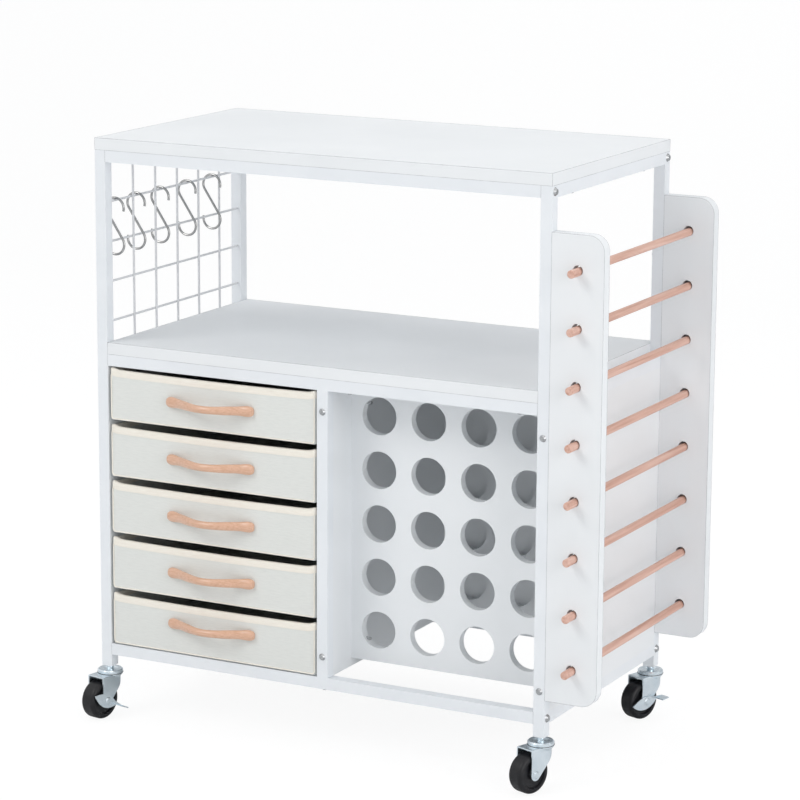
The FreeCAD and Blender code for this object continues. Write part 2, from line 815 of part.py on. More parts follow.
# Drawers of fabric over board, on sheet runners, with bowed wooden handles

drawer_width = S.drawer_bay_width - 2 * S.drawer_gap_side
drawer_depth = back_panel_front - S.drawer_gap_rear - S.drawer_front_setback
drawer_left = S.tube + S.drawer_gap_side
handle_reach = S.handle_length / 2 - S.handle_screw_inset


def handle_screw_holes(level, radius, spare):
    middle_x = drawer_left + drawer_width / 2
    inner = S.drawer_front_setback + S.drawer_front_wall
    return [rod((middle_x + side * handle_reach, inner + spare, level), "-y",
                S.drawer_front_wall + S.handle_screw_bite + spare, radius) for side in (-1, 1)]


def drawer(index, bottom, level):
    body = new_body(f"drawer_{index}_shell")
    outline = new_sketch(body, "XY_Plane")
    draw_polygon(outline, [(zero, zero), (drawer_width, zero), (drawer_width, drawer_depth),
                           (zero, drawer_depth)])
    pad(body, outline, drawer_height)
    inner = new_sketch(body, "XY_Plane")
    draw_polygon(inner, [
        (S.drawer_wall, S.drawer_front_wall),
        (drawer_width - S.drawer_wall, S.drawer_front_wall),
        (drawer_width - S.drawer_wall, drawer_depth - S.drawer_wall),
        (S.drawer_wall, drawer_depth - S.drawer_wall),
    ])
    bind(inner, AttachmentOffset__Base__z=S.drawer_floor)
    pocket(body, inner, drawer_height, reverse=True)
    place(body, (drawer_left, S.drawer_front_setback, bottom))
    return node(f"drawer_{index}", cut(body, handle_screw_holes(level, small_hole, S.play)))


def handle_oval(middle_x, level, share, tip=1.0):
    """One upright oval of a handle, at a share of the way from its middle to its end."""
    half = S.handle_length / 2
    lean = math.radians(90 * share)
    bow = S.handle_rise - S.handle_depth + S.handle_bed
    forward = S.handle_depth / 2 - S.handle_bed + bow * math.cos(lean) ** 2
    slope = math.atan(num(bow) * math.sin(2 * lean) * math.pi / 2 / num(half))
    along = FreeCAD.Vector(math.cos(slope), math.sin(slope), 0)
    inward = FreeCAD.Vector(math.sin(slope), -math.cos(slope), 0)
    height = S.handle_waist + (S.handle_swell - S.handle_waist) * math.sin(lean) ** 2
    oval = doc.addObject("Part::Ellipse", "Oval")
    bind(oval, MajorRadius=height * tip / 2, MinorRadius=S.handle_depth * tip / 2)
    turn = FreeCAD.Rotation(FreeCAD.Vector(0, 0, 1), inward, along, "ZXY")
    return place(oval, (middle_x + half * share, S.drawer_front_setback - forward, level), turn)


def handle_bar(middle_x, level):
    """The wooden bar: slim and bowed in the middle, swelling to its ends, flat where it meets the drawer."""
    steps = [(share / 4, 1.0) for share in range(-3, 4)]
    ends = [(0.95, 1.0), (1.0, 0.72)]
    ovals = [handle_oval(middle_x, level, -share, tip) for share, tip in reversed(ends)]
    ovals += [handle_oval(middle_x, level, share, tip) for share, tip in steps + ends]
    bar = doc.addObject("Part::Loft", "Bar")
    bar.Sections = ovals
    bar.Solid = True
    behind = box((middle_x - S.handle_length, S.drawer_front_setback, level - S.handle_swell),
                 (2 * S.handle_length, S.handle_depth, 2 * S.handle_swell))
    return cut(bar, [behind])


def handle(index, level):
    middle_x = drawer_left + drawer_width / 2
    screwed = cut(handle_bar(middle_x, level), handle_screw_holes(level, small_hole, S.play))
    inside = S.drawer_front_setback + S.drawer_front_wall
    fixings = [fastener((middle_x + side * handle_reach, inside, level), "-y",
                        S.drawer_front_wall + S.handle_screw_bite - S.play, S.small_screw_radius,
                        S.small_screw_head_radius, S.small_screw_head) for side in (-1, 1)]
    return node(f"drawer_{index}_handle", [screwed] + fixings)


def runner(x_wall, inward, ledge, holes):
    """An angle of thin sheet: a ledge that carries the drawer, and an upstand screwed to the wall."""
    x_leg = x_wall if inward > 0 else x_wall - S.runner_leg
    x_web = x_wall if inward > 0 else x_wall - S.runner_sheet
    run = drawer_depth - S.tube
    leg = box((x_leg, S.tube, ledge - S.runner_sheet), (S.runner_leg, run, S.runner_sheet))
    web = box((x_web, S.tube, ledge - S.runner_sheet), (S.runner_sheet, run, S.runner_upstand))
    return cut(fuse([leg, web]), [drill(hole, small_hole) for hole in holes])


runners = []
for index, ledge in enumerate(drawer_ledges, start=1):
    bottom = ledge + S.slide_gap
    handle_level = bottom + S.handle_level
    if index == len(drawer_ledges):
        handle_level = handle_level + S.low_handle_lift
    drawer(index, bottom, handle_level)
    handle(index, handle_level)
    pair = slice(2 * index - 2, 2 * index)
    runners.append(runner(S.tube, 1, ledge, runner_screws["left"][pair]))
    runners.append(runner(divider_left, -1, ledge, runner_screws["right"][pair]))
node("drawer_runners", runners)

# Casters, each drawn about its swivel axis, trailing to the front, then turned

axle_level = S.wheel_diameter / 2
plate_under = S.fork_top - S.fork_sheet
fork_inner = S.wheel_width / 2 + S.fork_gap
fork_half = fork_inner + S.fork_sheet
lever_inner = fork_half + S.slide_gap
lever_outer = lever_inner + S.lever_sheet


def turned(body, corner, local=(0, 0, 0), lean=0.0):
    """Set a caster piece, drawn trailing to the front, at its post and at its own swivel angle."""
    x_middle, y_middle = post_corners[corner]
    angle = math.radians(CASTER_TURNS[corner])
    x_place = x_middle + math.cos(angle) * local[0] - math.sin(angle) * local[1]
    y_place = y_middle + math.sin(angle) * local[0] + math.cos(angle) * local[1]
    spin = FreeCAD.Rotation(FreeCAD.Vector(0, 0, 1), CASTER_TURNS[corner])
    tilt = FreeCAD.Rotation(FreeCAD.Vector(1, 0, 0), lean)
    return place(body, (x_place, y_place, local[2]), spin.multiply(tilt))


def draw_arc(sketch, centre, start, finish):
    """An arc counter-clockwise about a centre, from one point to another."""
    angles = [math.atan2(num(v) - num(centre[1]), num(u) - num(centre[0])) for u, v in (start, finish)]
    point = FreeCAD.Vector(num(centre[0]), num(centre[1]), 0)
    radius = math.hypot(num(start[0]) - point.x, num(start[1]) - point.y)
    circle = Part.Circle(point, FreeCAD.Vector(0, 0, 1), radius)
    index = sketch.addGeometry(Part.ArcOfCircle(circle, *angles), False)
    pin_point(sketch, index, 3, centre)
    pin_point(sketch, index, 1, start)
    kind, value = ("DistanceX", finish[0])
    if abs(math.cos(angles[1])) > abs(math.sin(angles[1])):
        kind, value = ("DistanceY", finish[1])
    held = sketch.addConstraint(Sketcher.Constraint(kind, -1, 1, index, 2, num(value)))
    sketch.setExpression(f"Constraints[{held}]", text(value))


def draw_lines(sketch, points):
    """An open run of straight lines through the points."""
    for start, finish in zip(points, points[1:]):
        ends = [FreeCAD.Vector(num(u), num(v), 0) for u, v in (start, finish)]
        index = sketch.addGeometry(Part.LineSegment(*ends), False)
        pin_point(sketch, index, 1, start)
        pin_point(sketch, index, 2, finish)


def draw_arch(sketch, half, front):
    """The fork seen from above: round at the back, straight to the front."""
    draw_arc(sketch, (zero, zero), (half, zero), (-half, zero))
    draw_lines(sketch, [(-half, zero), (-half, -front), (half, -front), (half, zero)])


def fork_side(corner):
    """The fork seen from the side, as wide as the fork: a leg that narrows to a round foot."""
    body = new_body(f"{corner}_fork_side")
    profile = new_sketch(body, "YZ_Plane")
    foot = S.fork_foot
    front = -(S.caster_offset + foot)
    lean = math.radians(num(S.fork_leg_lean))
    heel = (foot * math.cos(lean) - S.caster_offset, axle_level - foot * math.sin(lean))
    draw_arc(profile, (-S.caster_offset, axle_level), (front, axle_level), heel)
    draw_lines(profile, [heel, (S.fork_back, S.fork_top - S.fork_back_drop),
                         (fork_half, S.fork_top - S.fork_back_drop / 2), (fork_half, S.fork_top),
                         (-S.fork_horn, S.fork_top), (-S.fork_horn, plate_under), (front, axle_level)])
    pad(body, profile, 3 * fork_half, both_ways=True)
    return body


def fork_shell(corner):
    """The fork seen from above: a folded arch of sheet under its top plate."""
    body = new_body(f"{corner}_fork_shell")
    outline = new_sketch(body, "XY_Plane")
    reach = S.caster_offset + S.fork_foot + S.fork_sheet
    draw_arch(outline, fork_half, reach)
    shell = pad(body, outline, S.fork_top)
    round_edges(body, shell, S.fork_sheet, lambda edge: (
        lies_at(edge, "Z", S.fork_top) and not lies_at(edge, "Y", -reach)))
    gap = new_sketch(body, "XY_Plane")
    draw_arch(gap, fork_inner, reach * 2)
    pocket(body, gap, plate_under, reverse=True)
    return body


def caster_fork(corner):
    views = [fork_side(corner), fork_shell(corner)]
    folded = doc.addObject("Part::MultiCommon", "Folded")
    folded.Shapes = views
    holes = [
        rod((-3 * fork_half, -S.caster_offset, axle_level), "+x", 6 * fork_half, S.axle_radius + S.play),
        rod((zero, zero, zero), "+z", 2 * S.fork_top, S.kingpin_radius + S.play),
        rod((zero, zero, zero), "+z", plate_under, fork_inner),
    ]
    rim_under = S.fork_top - S.crown_rim
    crown = fuse([
        folded,
        rod((zero, zero, rim_under), "+z", S.crown_rim, S.crown_radius),
        cone((zero, zero, rim_under - S.crown_slope), "+z", S.crown_slope, fork_half, S.crown_radius),
    ])
    fork = cut(crown, holes)
    turned(fork, corner)
    reach = lever_outer + S.play if corner in BRAKE_LEVERS else fork_half + S.play
    axle = new_body(f"{corner}_axle")
    section = new_sketch(axle, "XZ_Plane")
    far = -fork_half - S.play
    draw_polygon(section, [
        (far - S.axle_head, zero),
        (far - S.axle_head, S.axle_head_radius * 0.7),
        (far, S.axle_head_radius),
        (far, S.axle_radius),
        (reach, S.axle_radius),
        (reach, S.axle_head_radius),
        (reach + S.axle_head, S.axle_head_radius * 0.7),
        (reach + S.axle_head, zero),
    ])
    revolve(axle, section, "H_Axis")
    turned(axle, corner, (zero, -S.caster_offset, axle_level))
    return node(f"{corner}_caster_fork", [fork, axle])


def caster_wheel(corner):
    body = new_body(f"{corner}_tyre")
    section = new_sketch(body, "XZ_Plane")
    half = S.wheel_width / 2
    inner, outer = S.axle_radius + S.play, S.wheel_diameter / 2
    face = half - S.wheel_recess
    step = S.wheel_recess / 2
    right_side = [(half, inner), (half, S.hub_radius), (face, S.hub_radius + step), (face, S.wheel_hub),
                  (half, S.wheel_hub + step), (half, outer)]
    left_side = [(-u, v) for u, v in reversed(right_side)]
    draw_polygon(section, right_side + left_side)
    disc = revolve(body, section, "H_Axis")
    round_edges(body, disc, S.wheel_round, lambda edge: (
        abs(edge.BoundBox.ZLength - num(S.wheel_diameter)) < 0.1 and edge.BoundBox.XLength < 0.01))
    return node(f"{corner}_caster_wheel", turned(body, corner, (zero, -S.caster_offset, axle_level)))


def bow_radius(half_span, rise):
    """The radius of an arc that spans twice the half span and rises this far in the middle."""
    return (half_span * half_span + rise * rise) / (2 * rise)


def brake_lever(corner, pose):
    """A stamped lever on the axle's end: a crescent that grips the wheel, and a folded pedal."""
    body = new_body(f"{corner}_lever_steel")
    blade = new_sketch(body, "YZ_Plane")
    tip, heel = (-S.lever_tip, zero), (S.lever_heel, zero)
    middle_y = (S.lever_heel - S.lever_tip) / 2
    half_span = (S.lever_heel + S.lever_tip) / 2
    belly = bow_radius(half_span, S.lever_belly)
    brow = bow_radius(half_span, S.lever_brow)
    draw_arc(blade, (middle_y, belly - S.lever_belly), tip, heel)
    draw_arc(blade, (middle_y, S.lever_brow - brow), heel, tip)
    pad(body, blade, S.lever_sheet)
    arm = new_sketch(body, "YZ_Plane")
    draw_polygon(arm, [(zero, -S.lever_sheet), (S.pedal_reach, -S.lever_sheet), (S.pedal_reach, zero),
                       (zero, S.lever_brow * 0.8)])
    pad(body, arm, S.lever_sheet)
    pedal = new_sketch(body, "YZ_Plane")
    draw_polygon(pedal, [(S.lever_heel, -S.lever_sheet), (S.pedal_reach, -S.lever_sheet),
                         (S.pedal_reach, zero), (S.lever_heel, zero)])
    pad(body, pedal, S.pedal_width)
    bore = new_sketch(body, "YZ_Plane")
    draw_circle(bore, (zero, zero), S.axle_radius + S.play)
    pocket(body, bore, S.lever_sheet * 4, both_ways=True)
    lean = -num(S.lever_down) if pose == "down" else num(S.lever_up)
    turned(body, corner, (lever_inner, -S.caster_offset, axle_level), lean)
    return node(f"{corner}_brake_lever", body)


def caster_stem(corner):
    """Threaded stem, dished cap and kingpin, riveted into one piece."""
    body = new_body(f"{corner}_stem")
    section = new_sketch(body, "XZ_Plane")
    rim = S.fork_top + S.slide_gap
    ceiling = rim + S.ball_diameter + S.slide_gap
    skirt = S.cap_radius - S.cap_sheet
    race_half = S.ball_diameter / 2 + S.slide_gap
    dish = rim + S.ball_diameter * 0.6
    draw_polygon(section, [
        (zero, floor_gap + S.stem_depth),
        (S.kingpin_radius, floor_gap + S.stem_depth),
        (S.kingpin_radius, floor_gap - S.slide_gap),
        (S.cap_collar, floor_gap - S.slide_gap),
        (S.cap_collar, dish + S.cap_sheet),
        (S.cap_floor, dish + S.cap_sheet),
        (S.ball_circle - race_half + S.cap_sheet, ceiling + S.cap_sheet),
        (skirt, ceiling + S.cap_sheet),
        (S.cap_radius, ceiling),
        (S.cap_radius, rim),
        (skirt, rim),
        (skirt, ceiling - S.cap_sheet),
        (S.ball_circle + race_half, ceiling),
        (S.ball_circle - race_half, ceiling),
        (S.cap_floor, dish),
        (S.cap_floor - S.cap_sheet, rim),
        (S.kingpin_radius, rim),
        (S.kingpin_radius, plate_under - S.slide_gap),
        (S.kingpin_head, plate_under - S.slide_gap),
        (S.kingpin_head, plate_under - S.cap_sheet),
        (zero, plate_under - S.cap_sheet),
    ])
    revolve(body, section, "V_Axis")
    return turned(body, corner)


def bearing_balls(corner):
    x_middle, y_middle = post_corners[corner]
    balls = []
    count = int(num(S.ball_count))
    for index in range(count):
        angle = 2 * math.pi * index / count
        ball = doc.addObject("Part::Sphere", "Ball")
        bind(ball, Radius=S.ball_diameter / 2)
        balls.append(place(ball, (x_middle + math.cos(angle) * S.ball_circle,
                                  y_middle + math.sin(angle) * S.ball_circle,
                                  S.fork_top + S.slide_gap + S.ball_diameter / 2)))
    return balls


stems = []
balls = []
for corner in post_corners:
    caster_fork(corner)
    caster_wheel(corner)
    stems.append(caster_stem(corner))
    balls += bearing_balls(corner)
for corner, pose in BRAKE_LEVERS.items():
    brake_lever(corner, pose)
node("caster_stems", stems)
node("caster_bearing_balls", balls)
node("frame_bolts", bolts)
node("panel_screws", screws)

# Move the origin to the middle of the floor that the cart covers, then check and write

doc.recompute()
bounds = Part.makeCompound([obj.Shape for obj in nodes]).optimalBoundingBox(False)
middle.set("A1", repr((bounds.XMin + bounds.XMax) / 2))
middle.set("A2", repr((bounds.YMin + bounds.YMax) / 2))
doc.recompute()

for obj in doc.Objects:
    if "Invalid" in obj.State or "Error" in obj.State:
        raise RuntimeError(f"{obj.Name} failed: {obj.State}")
for obj in nodes:
    if obj.Shape.isNull() or not obj.Shape.isValid() or not obj.Shape.Solids:
        raise RuntimeError(f"{obj.Label} has no valid solid")
for (board, plate) in roll_boards:
    if not board.Shape.Volume < 0.8 * plate.Shape.Volume:
        raise RuntimeError(f"{board.Label} lost its holes")
for (plate, blank) in plates:
    if not plate.Shape.Volume < blank.Shape.Volume:
        raise RuntimeError(f"{plate.Label} lost its holes")

os.makedirs("parts", exist_ok=True)
for obj in nodes:
    obj.Shape.exportStep(f"parts/{obj.Label}.step")
whole = Part.makeCompound([obj.Shape for obj in nodes]).optimalBoundingBox(False)
print(f"{len(nodes)} nodes; {sum(len(obj.Shape.Solids) for obj in nodes)} solids")
print("moved by", middle.get("A1"), middle.get("A2"))
print("box", [round(value, 3) for value in (whole.XMin, whole.YMin, whole.ZMin,
                                            whole.XMax, whole.YMax, whole.ZMax)])
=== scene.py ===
import json
import math

import bmesh
import bpy
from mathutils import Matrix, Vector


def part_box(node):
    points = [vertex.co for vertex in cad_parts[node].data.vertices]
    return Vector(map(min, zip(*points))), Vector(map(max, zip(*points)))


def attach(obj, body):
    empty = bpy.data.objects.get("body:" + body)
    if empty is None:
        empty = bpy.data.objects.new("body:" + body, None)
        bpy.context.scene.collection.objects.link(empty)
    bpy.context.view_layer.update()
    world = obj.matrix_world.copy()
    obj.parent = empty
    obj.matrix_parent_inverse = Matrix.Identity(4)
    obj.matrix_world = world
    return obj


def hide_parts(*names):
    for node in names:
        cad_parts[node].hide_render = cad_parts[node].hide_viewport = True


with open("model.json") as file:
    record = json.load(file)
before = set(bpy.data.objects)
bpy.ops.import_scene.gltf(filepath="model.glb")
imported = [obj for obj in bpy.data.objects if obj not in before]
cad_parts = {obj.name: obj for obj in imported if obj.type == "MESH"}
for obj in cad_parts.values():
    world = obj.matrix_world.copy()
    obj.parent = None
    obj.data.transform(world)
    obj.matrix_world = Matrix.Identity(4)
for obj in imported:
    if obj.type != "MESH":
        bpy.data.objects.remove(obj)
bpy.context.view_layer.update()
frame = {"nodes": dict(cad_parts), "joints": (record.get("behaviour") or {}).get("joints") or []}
nodes = frame["nodes"]

# The stage: a plain pale floor that runs up behind the cart, soft lamps, and the camera
# where the photograph was taken from, about four metres away with a long lens.


def put(tree, kind, **values):
    """Adds a shader node; values are its settings, its sockets' numbers or the links into them."""
    made = tree.nodes.new(kind)
    for name, value in values.items():
        label = name.replace("_", " ")
        if hasattr(made, name):
            setattr(made, name, value)
            continue
        socket = made.inputs[label] if label in made.inputs else made.inputs[int(name.strip("i"))]
        if isinstance(value, bpy.types.NodeSocket):
            tree.links.new(value, socket)
        else:
            socket.default_value = value
    return made


def new_finish(name, **values):
    """A material with one shader, and the object's own coordinates to lay a pattern by."""
    finish = bpy.data.materials.new(name)
    finish.use_nodes = True
    tree = finish.node_tree
    shader = tree.nodes["Principled BSDF"]
    for socket, value in values.items():
        shader.inputs[socket.replace("_", " ")].default_value = value
    where = tree.nodes.new("ShaderNodeTexCoord").outputs["Object"]
    return finish, tree, shader, where


def raise_surface(tree, shader, height, strength, distance):
    """Bumps the shader's surface by a height pattern, in metres."""
    bump = put(tree, "ShaderNodeBump", Height=height, Strength=strength, Distance=distance)
    tree.links.new(bump.outputs["Normal"], shader.inputs["Normal"])


def new_piece(name, points, faces, finish, smooth_under=40.0):
    """A mesh object at the origin, with its place in its points and one finish."""
    mesh = bpy.data.meshes.new(name)
    mesh.from_pydata(points, [], faces)
    mesh.materials.append(finish)
    mesh.polygons.foreach_set("use_smooth", [True] * len(mesh.polygons))
    mesh.set_sharp_from_angle(angle=math.radians(smooth_under))
    mesh.update()
    piece = bpy.data.objects.new(name, mesh)
    bpy.context.scene.collection.objects.link(piece)
    return piece


FLOOR_WIDTH = 12.0
FLOOR_FRONT = -5.0
FLOOR_BACK = 3.0
COVE_RADIUS = 1.5
COVE_STEPS = 24
WALL_HEIGHT = 5.0
GLOW_SHARE = 0.86
GLOW_STRENGTH = 1.045

floor_finish, floor_tree, floor_shader, floor_where = new_finish(
    "floor_paper", Base_Color=(0.90, 0.91, 0.92, 1.0), Roughness=0.9)
floor_grain = put(floor_tree, "ShaderNodeTexNoise", Vector=floor_where, Scale=400.0, Detail=3.0)
raise_surface(floor_tree, floor_shader, floor_grain.outputs["Fac"], 0.1, 0.0003)
floor_seen = put(floor_tree, "ShaderNodeLightPath")
floor_lift = put(floor_tree, "ShaderNodeMath", operation="MULTIPLY",
                 i0=floor_seen.outputs["Is Camera Ray"], i1=GLOW_SHARE)
floor_glow = put(floor_tree, "ShaderNodeEmission", Color=(1.0, 1.0, 1.0, 1.0),
                 Strength=GLOW_STRENGTH)
floor_mix = put(floor_tree, "ShaderNodeMixShader", Fac=floor_lift.outputs[0],
                i1=floor_shader.outputs["BSDF"], i2=floor_glow.outputs["Emission"])
floor_tree.links.new(floor_mix.outputs[0], floor_tree.nodes["Material Output"].inputs["Surface"])

profile = [(FLOOR_FRONT, 0.0), (FLOOR_BACK, 0.0)]
for step in range(1, COVE_STEPS + 1):
    turn = math.pi / 2 * step / COVE_STEPS
    profile.append((FLOOR_BACK + COVE_RADIUS * math.sin(turn), COVE_RADIUS * (1 - math.cos(turn))))
profile.append((FLOOR_BACK + COVE_RADIUS, WALL_HEIGHT))
floor_points = [(side * FLOOR_WIDTH / 2, y, z) for y, z in profile for side in (-1, 1)]
floor_faces = [(2 * k, 2 * k + 1, 2 * k + 3, 2 * k + 2) for k in range(len(profile) - 1)]
floor = new_piece("studio_floor", floor_points, floor_faces, floor_finish)

world = bpy.data.worlds.new("studio")
bpy.context.scene.world = world
world.use_nodes = True
sky = world.node_tree
sky.nodes.clear()
seen_by = put(sky, "ShaderNodeLightPath")
camera_or_gloss = put(sky, "ShaderNodeMath", operation="MAXIMUM",
                      i0=seen_by.outputs["Is Camera Ray"], i1=seen_by.outputs["Is Glossy Ray"])
seen = put(sky, "ShaderNodeMath", operation="MAXIMUM",
           i0=camera_or_gloss.outputs[0], i1=seen_by.outputs["Is Transmission Ray"])
room_light = put(sky, "ShaderNodeBackground", Color=(0.97, 0.985, 1.0, 1.0), Strength=0.56)
backdrop = put(sky, "ShaderNodeBackground", Color=(1.0, 1.0, 1.0, 1.0), Strength=1.0)
sky_mix = put(sky, "ShaderNodeMixShader", Fac=seen.outputs[0],
              i1=room_light.outputs[0], i2=backdrop.outputs[0])
put(sky, "ShaderNodeOutputWorld", Surface=sky_mix.outputs[0])

LAMPS = {
    "key": {"place": (-1.6, -2.6, 3.0), "size": 1.8, "power": 45.5, "colour": (1.0, 0.985, 0.96)},
    "fill": {"place": (3.0, -1.2, 1.3), "size": 2.2, "power": 36.0, "colour": (1.0, 0.99, 0.98)},
    "top": {"place": (0.3, 0.4, 3.2), "size": 2.4, "power": 24.0, "colour": (1.0, 0.99, 0.98)},
}
AIM = (0.0, 0.0, 0.4)
for name, lamp in LAMPS.items():
    data = bpy.data.lights.new(f"{name}_lamp", "AREA")
    data.shape = "SQUARE"
    data.size = lamp["size"]
    data.energy = lamp["power"]
    data.color = lamp["colour"]
    light = bpy.data.objects.new(f"{name}_lamp", data)
    bpy.context.scene.collection.objects.link(light)
    light.location = lamp["place"]
    away = [place - aim for place, aim in zip(lamp["place"], AIM)]
    across = math.hypot(away[0], away[1])
    light.rotation_euler = (math.atan2(across, away[2]), 0.0, math.atan2(away[0], -away[1]))

CAMERA_PLACE = (1.84488, -3.50820, 1.28495)
CAMERA_TURN = (77.769, -0.3145, 27.719)
camera_data = bpy.data.cameras.new("photo_camera")
camera_data.lens = 143.39
camera_data.sensor_width = 36.0
camera = bpy.data.objects.new("photo_camera", camera_data)
bpy.context.scene.collection.objects.link(camera)
camera.location = CAMERA_PLACE
camera.rotation_euler = [math.radians(angle) for angle in CAMERA_TURN]
bpy.context.scene.camera = camera
bpy.context.scene.view_settings.view_transform = "Standard"

# The frame: two welded side frames and the rails between them, 15 mm square steel tube
# with a cool white powder coat that is a little cloudy and has a faint orange-peel skin.


def tones(tree, amount, stops):
    """Turns a number from 0 to 1 into colours between the given stops."""
    ramp = put(tree, "ShaderNodeValToRGB", Fac=amount)
    band = ramp.color_ramp.elements
    while len(band) < len(stops):
        band.new(0.5)
    for mark, (place, colour) in zip(band, stops):
        mark.position = place
        mark.color = (*colour, 1.0)
    return ramp.outputs["Color"]


def tint(tree, shader, amount, stops):
    """Colours the shader by a number from 0 to 1."""
    tree.links.new(tones(tree, amount, stops), shader.inputs["Base Color"])


def vary_gloss(tree, shader, amount, smooth, rough):
    """Sets the shader's roughness between two values by a number from 0 to 1."""
    gloss = put(tree, "ShaderNodeMapRange", Value=amount, To_Min=smooth, To_Max=rough)
    tree.links.new(gloss.outputs["Result"], shader.inputs["Roughness"])


def dress(names, finish):
    """Gives CAD nodes a finish."""
    for name in names:
        mesh = nodes[name].data
        mesh.materials.clear()
        mesh.materials.append(finish)


powder, powder_tree, powder_shader, powder_where = new_finish("powder_coat_white")
powder_cloud = put(powder_tree, "ShaderNodeTexNoise", Vector=powder_where, Scale=18.0, Detail=3.0)
tint(powder_tree, powder_shader, powder_cloud.outputs["Fac"],
     [(0.3, (0.78, 0.81, 0.845)), (0.7, (0.815, 0.842, 0.873))])
powder_peel = put(powder_tree, "ShaderNodeTexNoise", Vector=powder_where, Scale=650.0, Detail=2.0)
raise_surface(powder_tree, powder_shader, powder_peel.outputs["Fac"], 0.12, 0.0004)
vary_gloss(powder_tree, powder_shader, powder_cloud.outputs["Fac"], 0.32, 0.46)
TUBES = ["left_side_frame", "right_side_frame", "front_top_rail", "rear_top_rail", "front_mid_rail",
         "rear_mid_rail", "front_bottom_rail", "rear_bottom_rail", "front_divider_post",
         "rear_divider_post"]
dress(TUBES, powder)

# The boards: top, shelf, panels, roll boards and side plates, of particle board with a
# white melamine face that has a very fine pearl. Thin grey glue lines mark the edge bands
# of the top, the shelf and the side plates.

melamine, board_tree, board_shader, board_where = new_finish("melamine_white", Roughness=0.46)
board_cloud = put(board_tree, "ShaderNodeTexNoise", Vector=board_where, Scale=7.0, Detail=4.0)
tint(board_tree, board_shader, board_cloud.outputs["Fac"],
     [(0.35, (0.795, 0.818, 0.838)), (0.65, (0.825, 0.846, 0.866))])
board_pearl = put(board_tree, "ShaderNodeTexNoise", Vector=board_where, Scale=1400.0, Detail=2.0)
raise_surface(board_tree, board_shader, board_pearl.outputs["Fac"], 0.06, 0.0002)
BOARDS = ["top_board", "mid_shelf_board", "left_side_panel", "right_side_panel", "divider_panel",
          "back_panel", "front_roll_board", "rear_roll_board", "front_side_plate",
          "rear_side_plate"]
dress(BOARDS, melamine)

GLUE_LINE = 0.0002
SHARP = math.radians(50)
SAME_POINT = 0.00002
PLATE_CORNER = 0.0215
glue, glue_tree, glue_shader, glue_where = new_finish("edge_glue_line", Roughness=0.7)
glue_dirt = put(glue_tree, "ShaderNodeTexNoise", Vector=glue_where, Scale=60.0, Detail=3.0)
tint(glue_tree, glue_shader, glue_dirt.outputs["Fac"],
     [(0.35, (0.34, 0.35, 0.37)), (0.65, (0.55, 0.56, 0.58))])


def new_steps(name, numbers):
    """A node tree for a path, with some numbers and a finish, and the links to them."""
    tree = bpy.data.node_groups.new(name, "GeometryNodeTree")
    tree.interface.new_socket("Path", in_out="INPUT", socket_type="NodeSocketGeometry")
    for number in numbers:
        tree.interface.new_socket(number, in_out="INPUT", socket_type="NodeSocketFloat")
    tree.interface.new_socket("Finish", in_out="INPUT", socket_type="NodeSocketMaterial")
    tree.interface.new_socket("Made", in_out="OUTPUT", socket_type="NodeSocketGeometry")
    return tree, tree.nodes.new("NodeGroupInput").outputs


def end_steps(tree, given, shape):
    """Makes every copy real, gives it its finish and hands it out."""
    real = put(tree, "GeometryNodeRealizeInstances", Geometry=shape)
    painted = put(tree, "GeometryNodeSetMaterial", Geometry=real.outputs[0],
                  Material=given["Finish"])
    put(tree, "NodeGroupOutput", i0=painted.outputs[0])


def new_line_tree():
    """A thin round bead along every edge it is given."""
    tree, given = new_steps("edge_line", ["Radius"])
    line = put(tree, "GeometryNodeMeshToCurve", Mesh=given["Path"])
    ring = put(tree, "GeometryNodeCurvePrimitiveCircle", Resolution=5, Radius=given["Radius"])
    bead = put(tree, "GeometryNodeCurveToMesh", Curve=line.outputs[0],
               Profile_Curve=ring.outputs["Curve"], Fill_Caps=True)
    end_steps(tree, given, bead.outputs[0])
    return tree


def grown(name, points, edges, tree, wanted, body):
    """Runs a tree over a path of edges and keeps the result as a plain piece on a body."""
    path = bpy.data.meshes.new(f"{name}_path")
    path.from_pydata(points, edges, [])
    piece = bpy.data.objects.new(name, path)
    bpy.context.scene.collection.objects.link(piece)
    steps = piece.modifiers.new("made", "NODES")
    steps.node_group = tree
    for socket in tree.interface.items_tree:
        if socket.name in wanted:
            steps[socket.identifier] = wanted[socket.name]
    worked_out = piece.evaluated_get(bpy.context.evaluated_depsgraph_get())
    made = bpy.data.meshes.new_from_object(worked_out)
    piece.modifiers.clear()
    piece.data = made
    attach(piece, body)
    return piece


def sharp_edges(name, keep=lambda a, b: True):
    """The places of a CAD node's sharp edges that pass the test."""
    shape = bmesh.new()
    shape.from_mesh(nodes[name].data)
    bmesh.ops.remove_doubles(shape, verts=shape.verts, dist=SAME_POINT)
    ends = [[tuple(corner.co) for corner in edge.verts] for edge in shape.edges
            if len(edge.link_faces) == 2 and edge.calc_face_angle() > SHARP]
    shape.free()
    return [pair for pair in ends if keep(*pair)]


line_tree = new_line_tree()


def outline(name, pairs, radius):
    """Fine dark seams along the given edges of the static frame."""
    points = [end for pair in pairs for end in pair]
    edges = [(2 * k, 2 * k + 1) for k in range(len(pairs))]
    return grown(name, points, edges, line_tree, {"Radius": radius, "Finish": glue}, "cart")


for name in ("top_board", "mid_shelf_board"):
    outline(f"{name}_edge_band", sharp_edges(name), GLUE_LINE)
for name in ("front_side_plate", "rear_side_plate"):
    low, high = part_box(name)
    rim = sharp_edges(name, lambda *ends: all(
        min(end[0] - low[0], high[0] - end[0]) < PLATE_CORNER for end in ends))
    outline(f"{name}_edge_band", rim, GLUE_LINE)

# The rails' butt joints: each steel rail's square end is welded or bolted to its post,
# which leaves a dark hairline round the end.

